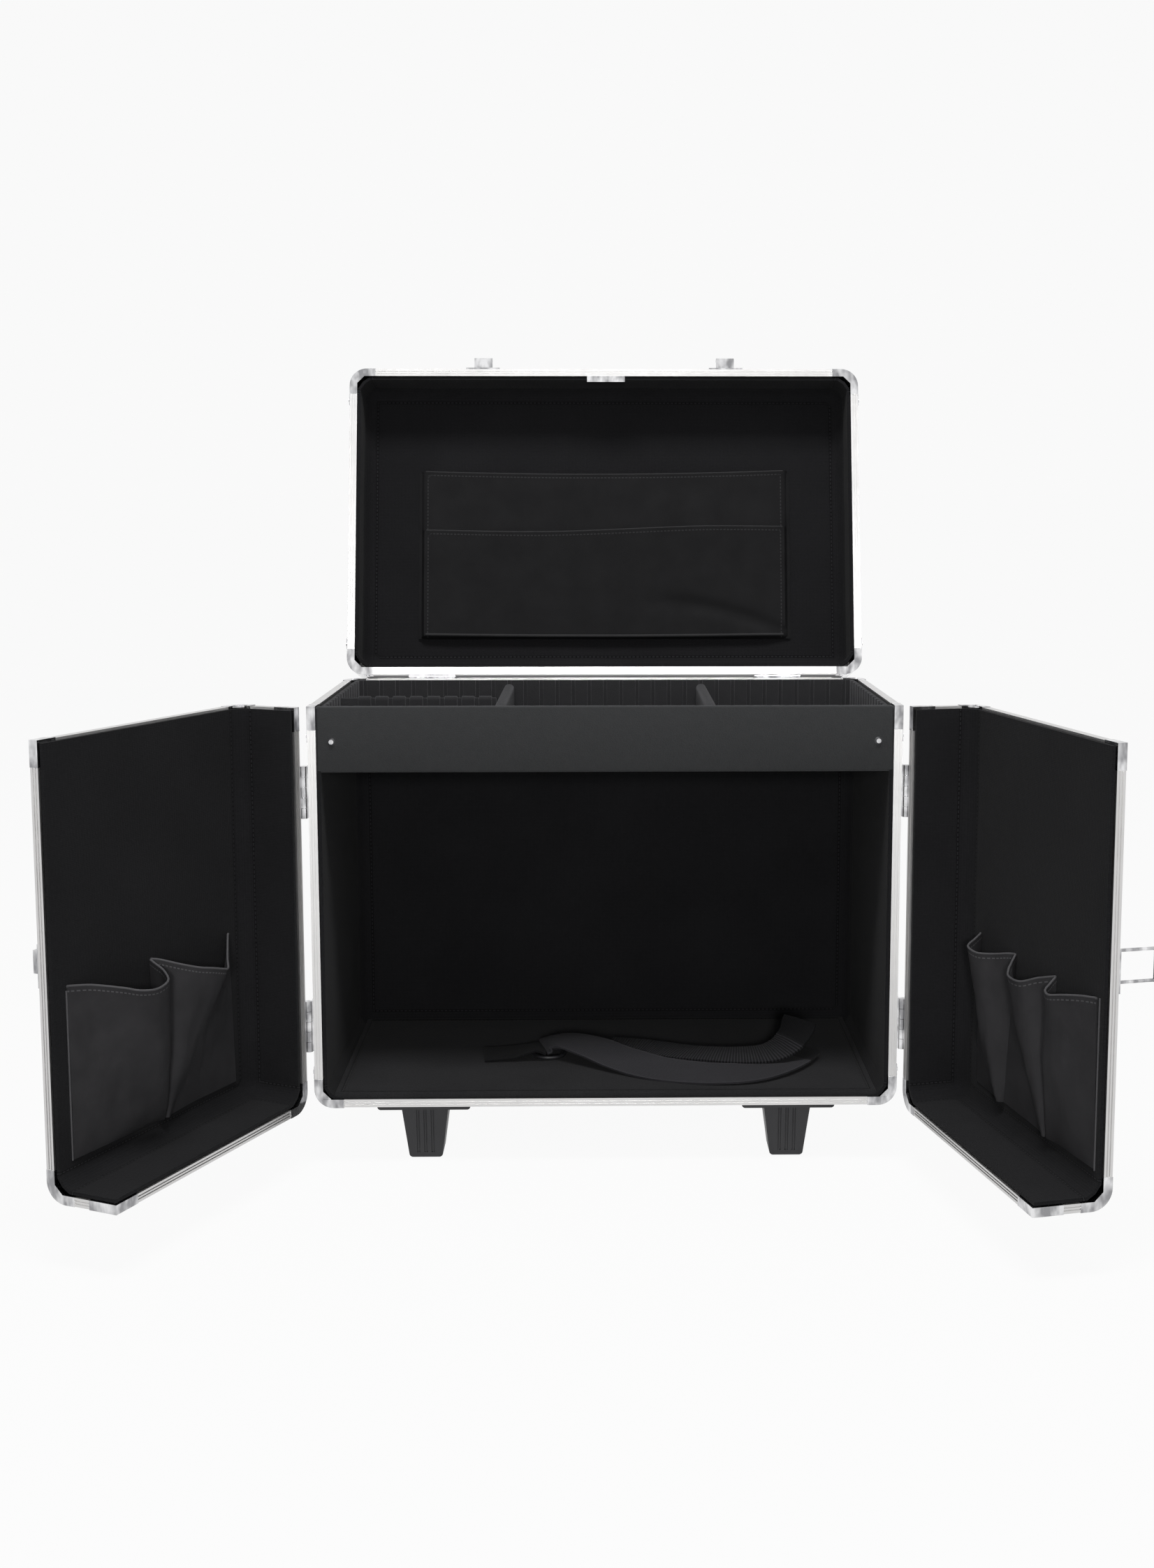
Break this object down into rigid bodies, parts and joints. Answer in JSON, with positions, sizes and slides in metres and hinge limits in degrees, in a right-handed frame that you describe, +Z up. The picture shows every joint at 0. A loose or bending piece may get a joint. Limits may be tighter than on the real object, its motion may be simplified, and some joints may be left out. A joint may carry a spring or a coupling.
{
  "type": "makeup train case",
  "caption": "Standing makeup train case with a box lid, a divided tray, an open lower compartment and two hinged doors with pockets, drawn open",
  "frame": {"origin": "on the floor plane, below the middle of the body's front rim", "axes": "+X across the case to the viewer's right, +Y from the front to the back, +Z up"},
  "size_m": [0.7143, 0.5208, 0.6104],
  "materials": {
    "aluminium": "anodised",
    "chrome": "polished",
    "black_panel": "textured",
    "black_lining": "woven",
    "grey_felt": "felt",
    "divider_felt": "felt",
    "pocket_leather": "grained",
    "black_plastic": "fine texture",
    "webbing": "ribbed"
  },
  "bodies": {
    "case_body": {"body_panels": "black_panel", "body_rails": "aluminium", "body_corner_caps": "chrome", "body_rivets": "chrome", "back_lining": "black_lining", "side_linings": "black_lining", "floor_lining": "black_lining", "tray_front_panel": "grey_felt", "tray_floor": "grey_felt", "tray_slot_liners": "divider_felt", "long_divider": "divider_felt", "cross_dividers": "divider_felt", "tray_screws": "chrome", "front_feet": "black_plastic", "rear_feet": "black_plastic", "foot_screws": "chrome", "body_door_leaves": "chrome", "body_lid_leaves": "chrome", "floor_strap": "webbing", "strap_ring": "black_plastic"},
    "left_door": {"left_door_panels": "black_panel", "left_door_rails": "aluminium", "left_door_caps": "chrome", "left_door_rivets": "chrome", "left_door_lining": "black_lining", "left_door_pocket": "pocket_leather", "left_door_leaves": "chrome", "left_door_keeper": "chrome", "left_latch_base": "chrome"},
    "right_door": {"right_door_panels": "black_panel", "right_door_rails": "aluminium", "right_door_caps": "chrome", "right_door_rivets": "chrome", "right_door_lining": "black_lining", "right_door_pocket": "pocket_leather", "right_door_leaves": "chrome", "right_latch_base": "chrome", "middle_latch_base": "chrome"},
    "lid": {"lid_panels": "black_panel", "lid_rails": "aluminium", "lid_corner_caps": "chrome", "lid_rivets": "chrome", "lid_lining": "black_lining", "lid_front_pocket": "pocket_leather", "lid_back_pocket": "pocket_leather", "lid_leaves": "chrome", "lid_keepers": "chrome", "lid_tab": "chrome", "handle_brackets": "black_plastic"},
    "left_lever": {"left_latch_lever": "chrome"},
    "left_bail": {"left_latch_bail": "chrome"},
    "right_lever": {"right_latch_lever": "chrome"},
    "right_bail": {"right_latch_bail": "chrome"},
    "middle_lever": {"middle_latch_lever": "chrome"},
    "middle_bail": {"middle_latch_bail": "chrome"},
    "handle": {"carry_handle": "black_plastic"}
  },
  "joints": [
    {"name": "lid_hinge", "type": "hinge", "parent": "case_body", "child": "lid", "pos_m": [0, 0.208, 0.3433], "axis": [1, 0, 0], "range_deg": [0, 102]},
    {"name": "left_door_hinge", "type": "hinge", "parent": "case_body", "child": "left_door", "pos_m": [-0.2184, -0.0003, 0.194], "axis": [0, 0, 1], "range_deg": [-60, 114.3]},
    {"name": "right_door_hinge", "type": "hinge", "parent": "case_body", "child": "right_door", "pos_m": [0.2184, -0.0003, 0.194], "axis": [0, 0, -1], "range_deg": [-70, 102.6]},
    {"name": "left_latch_lever_hinge", "type": "hinge", "parent": "left_door", "child": "left_lever", "pos_m": [-0.31984, -0.08111, 0.33], "axis": [0.4115, 0.9114, 0], "range_deg": [0, 120]},
    {"name": "left_latch_bail_hinge", "type": "hinge", "parent": "left_door", "child": "left_bail", "pos_m": [-0.31984, -0.08111, 0.33], "axis": [0.4115, 0.9114, 0], "range_deg": [0, 180]},
    {"name": "right_latch_lever_hinge", "type": "hinge", "parent": "right_door", "child": "right_lever", "pos_m": [0.30135, -0.10001, 0.33], "axis": [0.2181, -0.9759, 0], "range_deg": [0, 120]},
    {"name": "right_latch_bail_hinge", "type": "hinge", "parent": "right_door", "child": "right_bail", "pos_m": [0.30135, -0.10001, 0.33], "axis": [0.2181, -0.9759, 0], "range_deg": [0, 180]},
    {"name": "middle_latch_lever_hinge", "type": "hinge", "parent": "right_door", "child": "middle_lever", "pos_m": [0.32092, -0.18755, 0.199], "axis": [0, 0, -1], "range_deg": [0, 120]},
    {"name": "middle_latch_bail_hinge", "type": "hinge", "parent": "right_door", "child": "middle_bail", "pos_m": [0.32092, -0.18755, 0.199], "axis": [0, 0, -1], "range_deg": [-90, 90]},
    {"name": "carry_handle_hinge", "type": "hinge", "parent": "lid", "child": "handle", "pos_m": [0, 0.29023, 0.46179], "axis": [1, 0, 0], "range_deg": [-12, 168]}
  ]
}
